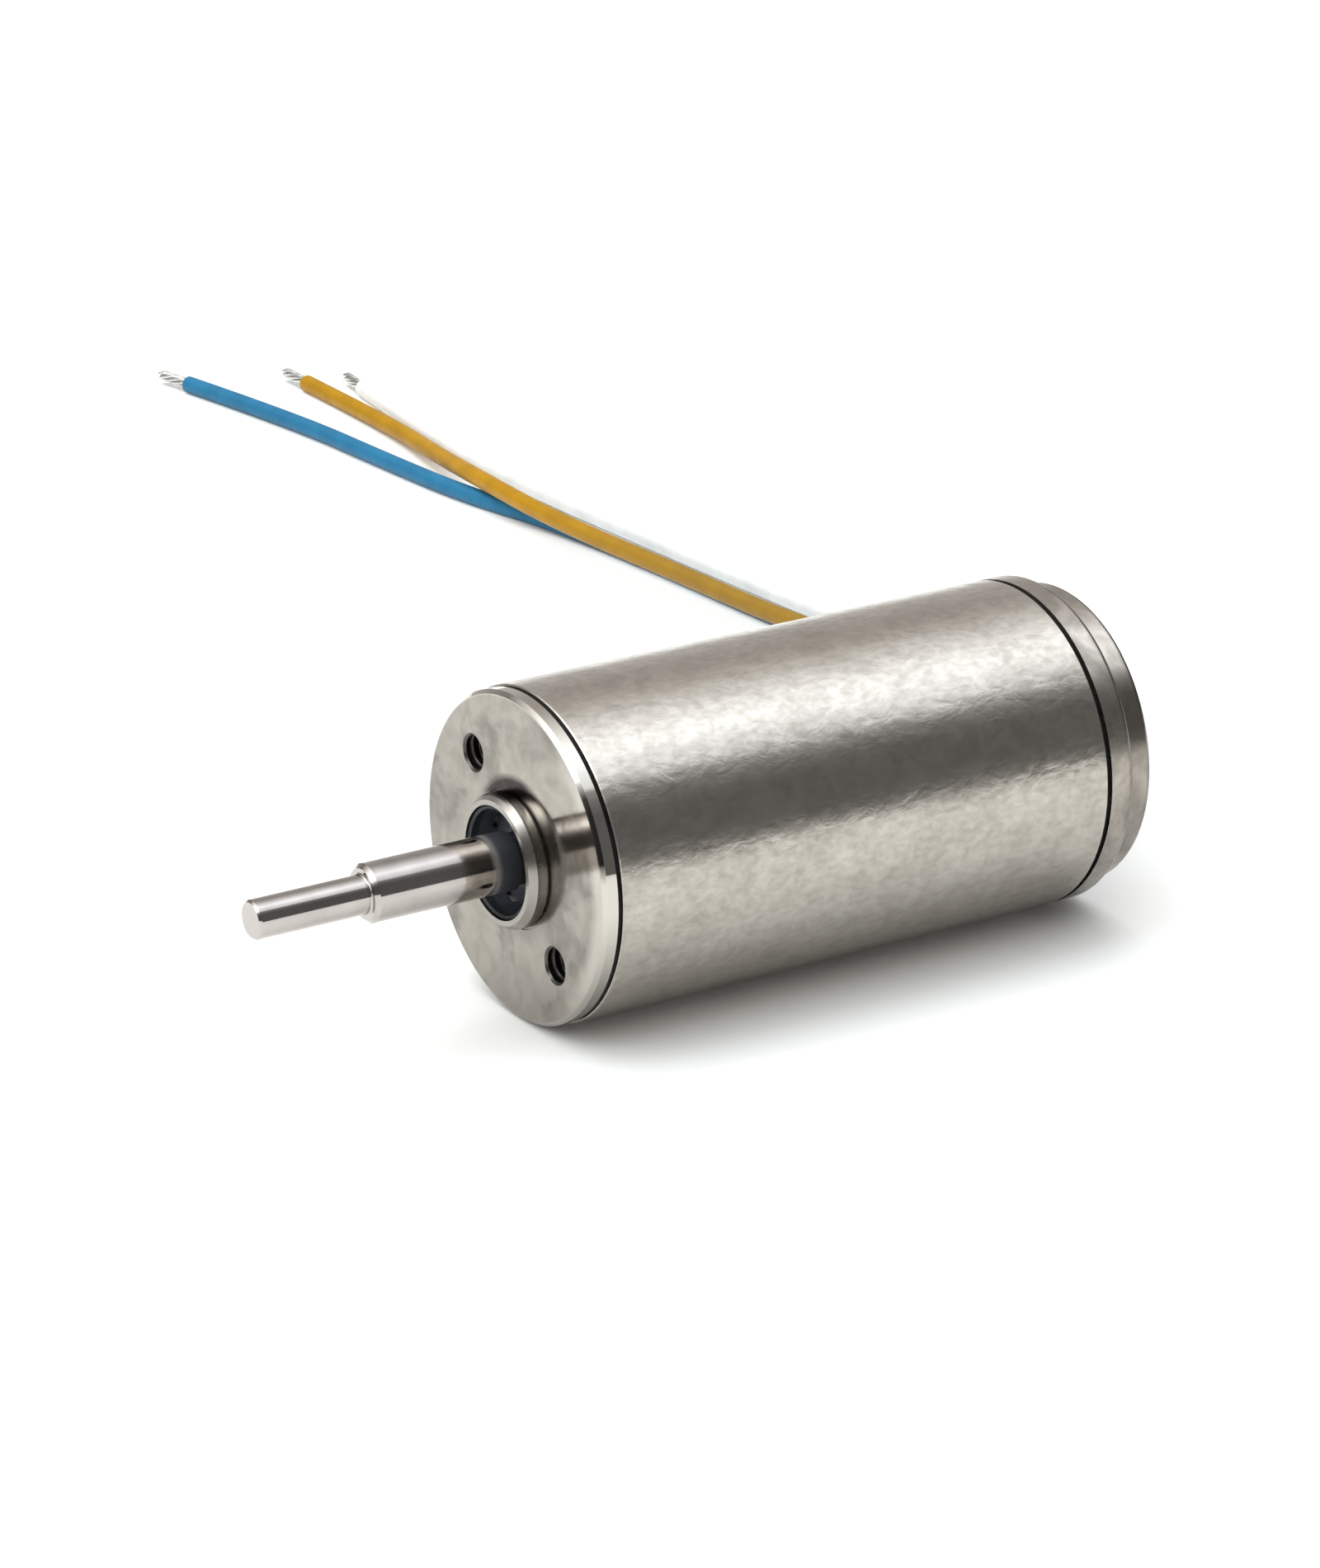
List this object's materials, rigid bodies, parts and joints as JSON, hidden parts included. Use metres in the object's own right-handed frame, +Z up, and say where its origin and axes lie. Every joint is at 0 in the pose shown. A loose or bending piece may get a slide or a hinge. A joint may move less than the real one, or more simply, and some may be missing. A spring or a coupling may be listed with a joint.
{
  "type": "brushless electric motor",
  "caption": "Small round brushless motor with a stepped shaft, a pilot boss on a tapped flange, ball bearings inside and insulated leads at the rear.",
  "frame": {"origin": "centre of the front flange's face, on the shaft's axis", "axes": "-Y along the shaft, out of the flange; +Y towards the rear cap and the leads; +Z up, with the motor lying on its side on z = -8.5 mm"},
  "size_m": [0.1125, 0.0612, 0.017],
  "materials": {
    "satin_steel": "tumbled satin stainless steel, fine mottled grain",
    "flange_steel": "fine matte face with a polished rim and boss",
    "cap_steel": "tumbled satin stainless steel with faint wear",
    "black_seal": "black, low gloss",
    "black_rubber": "black moulded rubber, semi gloss",
    "bearing_steel": "ground and polished",
    "pressed_steel": "bright pressed sheet",
    "spring_steel": "plain spring steel",
    "polished_steel": "ground and polished stainless steel",
    "magnet_plating": "nickel plating, satin",
    "sleeve_steel": "thin non-magnetic steel, turned",
    "brass": "turned brass",
    "spacer_steel": "turned steel",
    "lamination_steel": "stack of thin varnished sheets",
    "liner_film": "amber polyimide film",
    "copper_winding": "enamelled copper wire under clear varnish",
    "coil_ring_plastic": "moulded black plastic",
    "board_green": "green solder mask",
    "solder": "bright solder",
    "inner_lead_insulation": "silicone insulation",
    "blue_insulation": "blue silicone insulation",
    "yellow_insulation": "golden yellow silicone insulation",
    "white_insulation": "white silicone insulation",
    "tinned_copper": "tinned strands"
  },
  "bodies": {
    "motor_body": {"housing_tube": "satin_steel", "front_flange": "flange_steel", "rear_cap": "cap_steel", "front_joint_seal": "black_seal", "rear_joint_seal": "black_seal", "front_shaft_seal": "black_rubber", "lead_grommet": "black_rubber", "front_bearing_outer_ring": "bearing_steel", "rear_bearing_outer_ring": "bearing_steel", "front_bearing_shields": "pressed_steel", "rear_bearing_shields": "pressed_steel", "preload_spring": "spring_steel", "stator_laminations": "lamination_steel", "insulation_liner": "liner_film", "winding": "copper_winding", "coil_end_ring": "coil_ring_plastic", "terminal_board": "board_green", "solder_joints": "solder", "lead_inner_ends": "inner_lead_insulation", "blue_lead": "blue_insulation", "yellow_lead": "yellow_insulation", "white_lead": "white_insulation", "blue_lead_tip": "tinned_copper", "yellow_lead_tip": "tinned_copper", "white_lead_tip": "tinned_copper"},
    "rotor": {"shaft": "polished_steel", "rotor_magnet": "magnet_plating", "magnet_sleeve": "sleeve_steel", "front_balance_ring": "brass", "rear_balance_ring": "brass", "front_spacer": "spacer_steel", "rear_spacer": "spacer_steel", "front_bearing_inner_ring": "bearing_steel", "rear_bearing_inner_ring": "bearing_steel"},
    "front_ball_set": {"front_bearing_balls": "bearing_steel", "front_ball_cage": "pressed_steel"},
    "rear_ball_set": {"rear_bearing_balls": "bearing_steel", "rear_ball_cage": "pressed_steel"}
  },
  "joints": [
    {"name": "shaft_spin", "type": "hinge", "parent": "motor_body", "child": "rotor", "pos_m": [0, 0, 0], "axis": [0, -1, 0], "continuous": true},
    {"name": "front_ball_orbit", "type": "hinge", "parent": "motor_body", "child": "front_ball_set", "pos_m": [0, 0.0027, 0], "axis": [0, -1, 0], "continuous": true},
    {"name": "rear_ball_orbit", "type": "hinge", "parent": "motor_body", "child": "rear_ball_set", "pos_m": [0, 0.0291, 0], "axis": [0, -1, 0], "continuous": true}
  ],
  "couplings": [
    {"joint": "front_ball_orbit", "follows": "shaft_spin", "ratio": 0.4},
    {"joint": "rear_ball_orbit", "follows": "shaft_spin", "ratio": 0.4}
  ]
}
